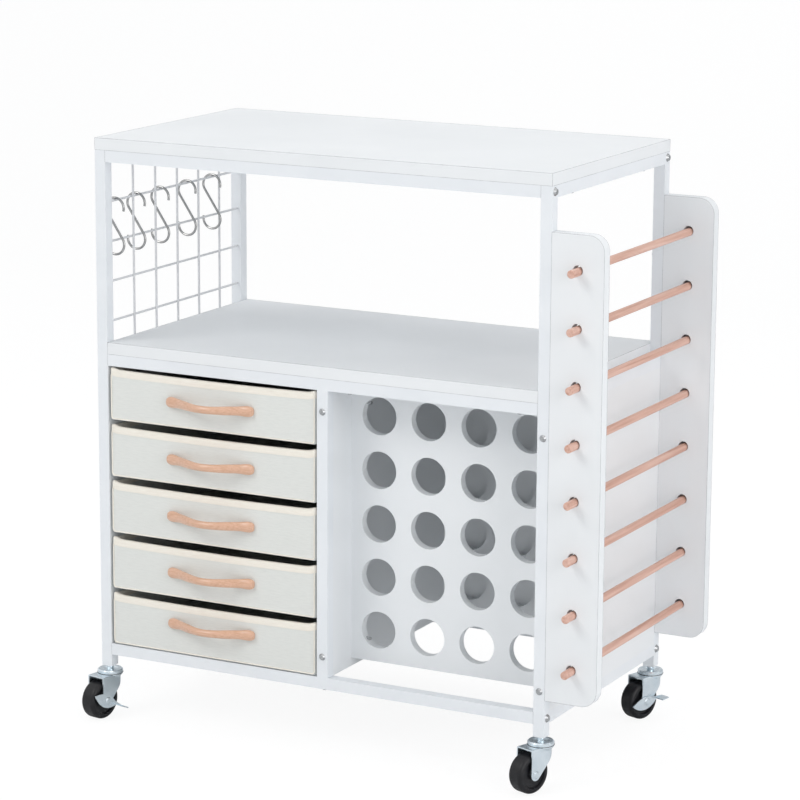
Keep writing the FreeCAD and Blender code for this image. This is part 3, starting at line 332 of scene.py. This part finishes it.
ON_END_FACE = 0.0002
for name in [tube for tube in TUBES if tube.endswith("rail")]:
    low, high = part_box(name)
    joints = sharp_edges(name, lambda *ends: any(
        all(abs(end[0] - side) < ON_END_FACE for end in ends) for side in (low[0], high[0])))
    outline(f"{name}_joint", joints, GLUE_LINE)

# The dowels: eight loose 10 mm round sticks of pale pink-brown hardwood that lie in the
# side plates' holes. Their grain runs lengthways, with short sunken pores.


def stretched(tree, where, scale):
    """The object's coordinates, squeezed or stretched along each axis."""
    return put(tree, "ShaderNodeMapping", Vector=where, Scale=scale).outputs["Vector"]


stick, stick_tree, stick_shader, stick_where = new_finish("dowel_beech", Roughness=0.55)
stick_grain = put(stick_tree, "ShaderNodeTexNoise", Scale=260.0, Detail=5.0,
                  Vector=stretched(stick_tree, stick_where, (1.0, 0.03, 1.0)))
tint(stick_tree, stick_shader, stick_grain.outputs["Fac"],
     [(0.30, (0.53, 0.29, 0.22)), (0.50, (0.655, 0.40, 0.32)), (0.72, (0.74, 0.50, 0.42))])
stick_pores = put(stick_tree, "ShaderNodeTexNoise", Scale=1500.0, Detail=2.0,
                  Vector=stretched(stick_tree, stick_where, (1.0, 0.05, 1.0)))
raise_surface(stick_tree, stick_shader, stick_pores.outputs["Fac"], 0.25, 0.0004)
dress([f"dowel_{k}" for k in range(1, 9)], stick)

# The wire grid inside the left side frame: 3 mm wire, spot welded where it crosses, with
# a white dipped coat that is greyer, glossier and less even than the frame's.

wire_coat, wire_tree, wire_shader, wire_where = new_finish("coated_wire_white", Roughness=0.3)
wire_runs = put(wire_tree, "ShaderNodeTexNoise", Vector=wire_where, Scale=300.0, Detail=2.0)
tint(wire_tree, wire_shader, wire_runs.outputs["Fac"],
     [(0.3, (0.67, 0.68, 0.70)), (0.7, (0.73, 0.74, 0.76))])
raise_surface(wire_tree, wire_shader, wire_runs.outputs["Fac"], 0.15, 0.0004)
dress(["side_grid"], wire_coat)

# The S-hooks: bent rounds of chrome-plated wire, each hung loose over the grid's top wire
# so that it can swing. Handling has dulled the plating here and there.

hook_chrome, hook_tree, hook_shader, hook_where = new_finish(
    "hook_chrome", Base_Color=(0.40, 0.40, 0.40, 1.0), Metallic=1.0)
hook_smear = put(hook_tree, "ShaderNodeTexNoise", Vector=hook_where, Scale=220.0, Detail=4.0)
vary_gloss(hook_tree, hook_shader, hook_smear.outputs["Fac"], 0.12, 0.28)
dress([f"hook_{k}" for k in range(1, 6)], hook_chrome)

# The drawers: thin board covered in pale grey woven cloth, open at the top. The cloth
# edge dips between the stiff corners and is bound with a cream tape, sewn on.

WAVE_WIDTH = 0.314


def woven(tree, shader, where, pitch, dark, light, strength):
    """Threads over and under each other: bands along and across, swapped square by square."""
    parts = put(tree, "ShaderNodeSeparateXYZ", Vector=where)
    along = put(tree, "ShaderNodeMath", operation="ADD",
                i0=parts.outputs["X"], i1=parts.outputs["Y"])
    wall = put(tree, "ShaderNodeCombineXYZ", X=along.outputs[0], Y=parts.outputs["Z"])
    facing = put(tree, "ShaderNodeSeparateXYZ", Vector=where.node.outputs["Normal"])
    upright = put(tree, "ShaderNodeMath", operation="COMPARE",
                  i0=facing.outputs["Z"], i1=0.0, i2=0.5)
    laid = put(tree, "ShaderNodeMix", data_type="VECTOR", Factor=upright.outputs[0],
               i4=where, i5=wall.outputs[0])
    flat = laid.outputs[1]
    across = put(tree, "ShaderNodeTexWave", Vector=flat, bands_direction="X",
                 Scale=WAVE_WIDTH / pitch)
    upward = put(tree, "ShaderNodeTexWave", Vector=flat, bands_direction="Y",
                 Scale=WAVE_WIDTH / pitch)
    squares = put(tree, "ShaderNodeTexChecker", Vector=flat, Scale=1.0 / pitch)
    thread = put(tree, "ShaderNodeMix", data_type="FLOAT", Factor=squares.outputs["Fac"],
                 i2=across.outputs["Fac"], i3=upward.outputs["Fac"])
    slub = put(tree, "ShaderNodeTexNoise", Scale=90.0, Detail=5.0,
               Vector=stretched(tree, flat, (1.0, 6.0, 1.0)))
    depth = put(tree, "ShaderNodeMath", operation="MULTIPLY_ADD", i0=thread.outputs[0], i1=0.45,
                i2=slub.outputs["Fac"])
    tint(tree, shader, depth.outputs[0], [(0.35, dark), (0.95, light)])
    raise_surface(tree, shader, thread.outputs[0], strength, 0.0003)


cloth, cloth_tree, cloth_shader, cloth_where = new_finish(
    "drawer_cloth", Roughness=0.9, Sheen_Weight=0.25, Sheen_Roughness=0.6)
woven(cloth_tree, cloth_shader, cloth_where, 0.0008,
      (0.735, 0.75, 0.725), (0.805, 0.82, 0.79), 0.5)
tape, tape_tree, tape_shader, tape_where = new_finish(
    "binding_tape", Roughness=0.85, Sheen_Weight=0.2)
woven(tape_tree, tape_shader, tape_where, 0.0005,
      (0.85, 0.80, 0.71), (0.94, 0.90, 0.82), 0.35)
thread_finish, thread_tree, thread_shader, thread_where = new_finish(
    "sewing_thread", Roughness=0.8)
thread_twist = put(thread_tree, "ShaderNodeTexNoise", Vector=thread_where, Scale=1800.0)
tint(thread_tree, thread_shader, thread_twist.outputs["Fac"],
     [(0.35, (0.82, 0.79, 0.72)), (0.65, (0.90, 0.87, 0.80))])
raise_surface(thread_tree, thread_shader, thread_twist.outputs["Fac"], 0.3, 0.0002)

WALL = 0.003
FRONT_WALL = 0.005
FLOOR_BOARD = 0.004
CORNER = 0.004
EDGE_DIP = 0.0038
EAR = 0.011
CROWN = 0.0008
SIDE_STEP = 0.006
LIP_STEPS = 5
TAPE_WIDTH = 0.0088
TAPE_LIFT = 0.0005
PIPING = 0.0009
STITCH_PITCH = 0.0036
STITCH_LENGTH = 0.0026
STITCH_THICK = 0.0005
SEAM_RISE = 0.0013
EAR_SHARE = 0.55
CORNER_STEPS = 4
OUTSIDE_LEVELS = (0.0, 0.02, 0.1, 0.25, 0.5, 0.75, 0.9)
INSIDE_LEVELS = (0.75, 0.5, 0.25)
PIPING_INSET = 0.0016
PIPING_RISE = 0.0012
PIPING_PROUD = 0.0001
BEND = 0.003
BEND_MIDDLE = 0.0009


def drawer_outline(low, high, front_inset, inset):
    """Points round a drawer, drawn in from its faces: place, way out, give and slack there."""
    x0, x1, y0, y1 = low[0] + inset, high[0] - inset, low[1] + front_inset, high[1] - inset
    corner = max(0.001, CORNER - inset)
    sides = [((x0, y0), (x1, y0)), ((x1, y0), (x1, y1)), ((x1, y1), (x0, y1)), ((x0, y1), (x0, y0))]
    places = []
    for (ax, ay), (bx, by) in sides:
        length = math.hypot(bx - ax, by - ay)
        dx, dy = (bx - ax) / length, (by - ay) / length
        count = round((high[0] - low[0]) / SIDE_STEP)
        for step in range(count + 1):
            along = corner + (length - 2 * corner) * step / count
            ear = min(1.0, min(along, length - along) / EAR)
            slack = math.sin(math.pi * along / length)
            give = EAR_SHARE * ear * ear * (3 - 2 * ear) + (1 - EAR_SHARE) * slack ** 0.8
            places.append((ax + dx * along, ay + dy * along, dy, -dx, give, slack ** 0.5))
        for step in range(1, CORNER_STEPS):
            turn = math.pi / 2 * step / CORNER_STEPS
            forward = length - corner + corner * math.sin(turn)
            inward = corner * (1 - math.cos(turn))
            places.append((ax + dx * forward - dy * inward, ay + dy * forward + dx * inward,
                           0.0, 0.0, 0.0, 0.0))
    return places


def cloth_ring(places, height, low, high):
    """One ring of the drawer at a height: lower where its edge dips, crowned halfway up."""
    share = (height - low[2]) / (high[2] - low[2])
    bulge = CROWN * math.sin(math.pi * min(1.0, max(0.0, share)))
    dip = EDGE_DIP * max(0.0, share)
    return [(x + out_x * bulge * slack, y + out_y * bulge * slack, height - dip * give)
            for x, y, out_x, out_y, give, slack in places]


def stack(rings, closed_ends):
    """Faces between rings of points in turn, then over both ends or from the last to the first."""
    count = len(rings[0])
    last = (len(rings) - 1) * count
    points = [point for ring in rings for point in ring]
    faces = []
    for level in range(len(rings) - 1):
        for k in range(count):
            after = (k + 1) % count
            faces.append((level * count + k, level * count + after,
                          (level + 1) * count + after, (level + 1) * count + k))
    if closed_ends:
        faces.append(tuple(reversed(range(count))))
        faces.append(tuple(range(last, last + count)))
    else:
        for k in range(count):
            after = (k + 1) % count
            faces.append((last + k, last + after, after, k))
    return points, faces


def lip_rings(low, high, lift):
    """Rings over the drawer's rounded top edge, from outside to inside, raised by a lift."""
    rings = []
    for step in range(LIP_STEPS + 1):
        turn = math.pi * step / LIP_STEPS
        front = -lift + (FRONT_WALL / 2 + lift) * (1 - math.cos(turn))
        side = -lift + (WALL / 2 + lift) * (1 - math.cos(turn))
        height = high[2] - WALL / 2 + (WALL / 2 + lift) * math.sin(turn)
        rings.append(cloth_ring(drawer_outline(low, high, front, side), height, low, high))
    return rings


def tube_along(path, radius, corners=8):
    """Points and faces of a round cord along a path in a plane of constant y."""
    rings = []
    for index, (x, y, z) in enumerate(path):
        before, after = path[max(0, index - 1)], path[min(len(path) - 1, index + 1)]
        length = math.hypot(after[0] - before[0], after[2] - before[2])
        side_x, side_z = (after[2] - before[2]) / length, -(after[0] - before[0]) / length
        rings.append([(x + side_x * radius * math.cos(turn), y + radius * math.sin(turn),
                       z + side_z * radius * math.cos(turn))
                      for turn in (2 * math.pi * k / corners for k in range(corners))])
    return stack(rings, True)


def new_stitch_tree():
    """Short threads laid end to end along a path, as a row of machine stitches."""
    tree, given = new_steps("stitch_row", ["Pitch", "Length", "Thickness"])
    line = put(tree, "GeometryNodeMeshToCurve", Mesh=given["Path"])
    marks = put(tree, "GeometryNodeResampleCurve", Curve=line.outputs[0], mode="LENGTH",
                Length=given["Pitch"])
    heading = put(tree, "GeometryNodeInputTangent")
    turned = put(tree, "FunctionNodeAlignRotationToVector", axis="Z", Vector=heading.outputs[0])
    bead = put(tree, "GeometryNodeMeshUVSphere", Segments=6, Rings=5, Radius=0.5)
    size = put(tree, "ShaderNodeCombineXYZ", X=given["Thickness"], Y=given["Thickness"],
               Z=given["Length"])
    laid = put(tree, "GeometryNodeInstanceOnPoints", Points=marks.outputs[0],
               Instance=bead.outputs[0], Rotation=turned.outputs[0], Scale=size.outputs[0])
    end_steps(tree, given, laid.outputs[0])
    return tree


stitch_tree = new_stitch_tree()

for number in range(1, 6):
    body = f"drawer_{number}"
    low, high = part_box(body)
    top = high[2]
    outer = drawer_outline(low, high, 0.0, 0.0)
    inner = drawer_outline(low, high, FRONT_WALL, WALL)
    rings = [cloth_ring(outer, low[2] + (top - low[2]) * share, low, high)
             for share in OUTSIDE_LEVELS]
    rings += lip_rings(low, high, 0.0)
    rings += [cloth_ring(inner, low[2] + (top - low[2]) * share, low, high)
              for share in INSIDE_LEVELS]
    rings.append(cloth_ring(inner, low[2] + FLOOR_BOARD, low, high))
    shell = new_piece(f"{body}_cloth", *stack(rings, True), cloth)
    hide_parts(body)
    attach(shell, body)

    outside = drawer_outline(low, high, -TAPE_LIFT, -TAPE_LIFT)
    inside = drawer_outline(low, high, FRONT_WALL + TAPE_LIFT, WALL + TAPE_LIFT)
    under_out = drawer_outline(low, high, TAPE_LIFT, TAPE_LIFT)
    under_in = drawer_outline(low, high, FRONT_WALL - TAPE_LIFT, WALL - TAPE_LIFT)
    tape_foot = top - TAPE_WIDTH
    tape_rings = [cloth_ring(under_out, tape_foot, low, high),
                  cloth_ring(outside, tape_foot, low, high),
                  cloth_ring(outside, top - TAPE_WIDTH / 2, low, high)]
    tape_rings += lip_rings(low, high, TAPE_LIFT)
    tape_rings += [cloth_ring(inside, tape_foot, low, high),
                   cloth_ring(under_in, tape_foot, low, high)]
    binding = new_piece(f"{body}_binding", *stack(tape_rings, False), tape)
    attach(binding, body)

    left, right = low[0] + PIPING_INSET, high[0] - PIPING_INSET
    foot, face = low[2] + PIPING_RISE, low[1] + PIPING_PROUD
    edge = [(left, face, tape_foot), (left, face, foot + BEND),
            (left + BEND_MIDDLE, face, foot + BEND_MIDDLE), (left + BEND, face, foot),
            (right - BEND, face, foot), (right - BEND_MIDDLE, face, foot + BEND_MIDDLE),
            (right, face, foot + BEND), (right, face, tape_foot)]
    piping = new_piece(f"{body}_piping", *tube_along(edge, PIPING), tape)
    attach(piping, body)

    seam = cloth_ring(outside, tape_foot + SEAM_RISE, low, high)
    seam_edges = [(k, (k + 1) % len(seam)) for k in range(len(seam))]
    grown(f"{body}_stitches", seam, seam_edges, stitch_tree,
          {"Pitch": STITCH_PITCH, "Length": STITCH_LENGTH, "Thickness": STITCH_THICK,
           "Finish": thread_finish}, body)

# The drawer handles: bowed bars of clear-lacquered beech, whose grain runs along the bar.
# Their screws, which start inside the drawer's front wall, are part of the same nodes, so
# the finish turns to bare steel behind that wall.

bow_wood, bow_tree, bow_shader, bow_where = new_finish(
    "handle_beech", Roughness=0.3, Coat_Weight=0.7, Coat_Roughness=0.09)
bow_bend = put(bow_tree, "ShaderNodeTexNoise", Vector=bow_where, Scale=14.0, Detail=2.0)
bow_bent = put(bow_tree, "ShaderNodeVectorMath", operation="MULTIPLY_ADD",
               i0=bow_bend.outputs["Color"], i1=(0.0, 0.004, 0.004), i2=bow_where)
bow_grain = put(bow_tree, "ShaderNodeTexNoise", Scale=620.0, Detail=4.0,
                Vector=stretched(bow_tree, bow_bent.outputs[0], (0.018, 1.0, 1.0)))
bow_colour = tones(bow_tree, bow_grain.outputs["Fac"],
                   [(0.28, (0.60, 0.335, 0.21)), (0.5, (0.68, 0.405, 0.275)),
                    (0.74, (0.74, 0.46, 0.325))])
SCREW_MARGIN = 0.0001
screw_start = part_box("drawer_1")[0][1] + FRONT_WALL - SCREW_MARGIN
bow_place = put(bow_tree, "ShaderNodeSeparateXYZ", Vector=bow_where)
screw_part = put(bow_tree, "ShaderNodeMath", operation="GREATER_THAN",
                 i0=bow_place.outputs["Y"], i1=screw_start)
bow_and_screw = put(bow_tree, "ShaderNodeMix", data_type="RGBA", Factor=screw_part.outputs[0],
                    i6=bow_colour, i7=(0.45, 0.46, 0.48, 1.0))
bow_tree.links.new(bow_and_screw.outputs[2], bow_shader.inputs["Base Color"])
bow_tree.links.new(screw_part.outputs[0], bow_shader.inputs["Metallic"])
dress([f"drawer_{k}_handle" for k in range(1, 6)], bow_wood)

# The bolts and screws: pan and button heads with a cross slot, in plain nickel with fine
# darker clouds, and the threaded inserts behind them in the tubes.

nickel, nickel_tree, nickel_shader, nickel_where = new_finish(
    "screw_nickel", Roughness=0.32, Metallic=1.0)
nickel_cloud = put(nickel_tree, "ShaderNodeTexNoise", Vector=nickel_where, Scale=500.0, Detail=4.0)
tint(nickel_tree, nickel_shader, nickel_cloud.outputs["Fac"],
     [(0.3, (0.30, 0.31, 0.32)), (0.7, (0.48, 0.49, 0.50))])
raise_surface(nickel_tree, nickel_shader, nickel_cloud.outputs["Fac"], 0.1, 0.0002)
dress(["frame_bolts", "panel_screws", "tube_inserts"], nickel)

# The runners: folded strips of sheet steel that carry the drawers' edges. They have the
# frame's white coat, and each is screwed to the wall beside it.

dress(["drawer_runners"], powder)

# The casters: pressed zinc-plated steel caps, forks and brake levers, with a bluish
# bright finish, and black rubber wheels with faint grey scuffs.

zinc, zinc_tree, zinc_shader, zinc_where = new_finish("zinc_plate", Metallic=0.95)
zinc_cloud = put(zinc_tree, "ShaderNodeTexNoise", Vector=zinc_where, Scale=70.0, Detail=2.0)
tint(zinc_tree, zinc_shader, zinc_cloud.outputs["Fac"],
     [(0.3, (0.62, 0.70, 0.755)), (0.7, (0.70, 0.765, 0.81))])
vary_gloss(zinc_tree, zinc_shader, zinc_cloud.outputs["Fac"], 0.2, 0.3)
zinc_grain = put(zinc_tree, "ShaderNodeTexNoise", Vector=zinc_where, Scale=900.0, Detail=3.0)
raise_surface(zinc_tree, zinc_shader, zinc_grain.outputs["Fac"], 0.05, 0.0002)
CORNERS = ["front_left", "front_right", "rear_left", "rear_right"]
dress([f"{corner}_caster_fork" for corner in CORNERS], zinc)
dress(["front_left_brake_lever", "rear_right_brake_lever"], zinc)
dress(["caster_stems", "caster_bearing_balls"], zinc)

tyre, tyre_tree, tyre_shader, tyre_where = new_finish(
    "wheel_rubber", Roughness=0.4, Specular_IOR_Level=0.32)
tyre_scuff = put(tyre_tree, "ShaderNodeTexNoise", Vector=tyre_where, Scale=160.0, Detail=6.0)
tint(tyre_tree, tyre_shader, tyre_scuff.outputs["Fac"],
     [(0.45, (0.005, 0.005, 0.007)), (0.85, (0.014, 0.014, 0.016))])
raise_surface(tyre_tree, tyre_shader, tyre_scuff.outputs["Fac"], 0.12, 0.0003)
dress([f"{corner}_caster_wheel" for corner in CORNERS], tyre)

# The casters' raceway gaps: a thin black ring round each raceway, between the cap that is
# screwed to the post and the fork that turns under it, is painted shade for the shaded gap there.

GAP_SHADE_RADIUS = 0.01655
GAP_SHADE_THICK = 0.00042
GAP_SHADE_STEPS = 64
GAP_SHADE_SIDES = 8
GAP_SHADE_RISE = 0.00015
# Painted shade: a near-black finish with a faint mottle, standing in for the shade inside the
# raceway gap.
gap_shade_finish, gap_shade_tree, gap_shade_shader, gap_shade_where = new_finish("painted_gap_shade", Roughness=0.6)
gap_shade_mottle = put(gap_shade_tree, "ShaderNodeTexNoise", Vector=gap_shade_where, Scale=700.0, Detail=3.0)
tint(gap_shade_tree, gap_shade_shader, gap_shade_mottle.outputs["Fac"],
     [(0.4, (0.012, 0.012, 0.014)), (0.8, (0.05, 0.05, 0.05))])
gap_shade_turns = [-2 * math.pi * k / GAP_SHADE_SIDES for k in range(GAP_SHADE_SIDES)]
for joint in [joint for joint in frame["joints"] if joint["name"].endswith("_caster_swivel")]:
    x, y, z = joint["pos_m"]
    rings = []
    for step in range(GAP_SHADE_STEPS):
        turn = 2 * math.pi * step / GAP_SHADE_STEPS
        rings.append([(x + (GAP_SHADE_RADIUS + GAP_SHADE_THICK * math.cos(tilt)) * math.cos(turn),
                       y + (GAP_SHADE_RADIUS + GAP_SHADE_THICK * math.cos(tilt)) * math.sin(turn),
                       z + GAP_SHADE_RISE + GAP_SHADE_THICK * math.sin(tilt)) for tilt in gap_shade_turns])
    # Each ring is painted shade in the gap between cap and fork, not a real part.
    gap_shade_name = joint["name"].replace("_swivel", "_gap_shade")
    gap_shade = new_piece(gap_shade_name, *stack(rings, False), gap_shade_finish)
    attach(gap_shade, "cart")
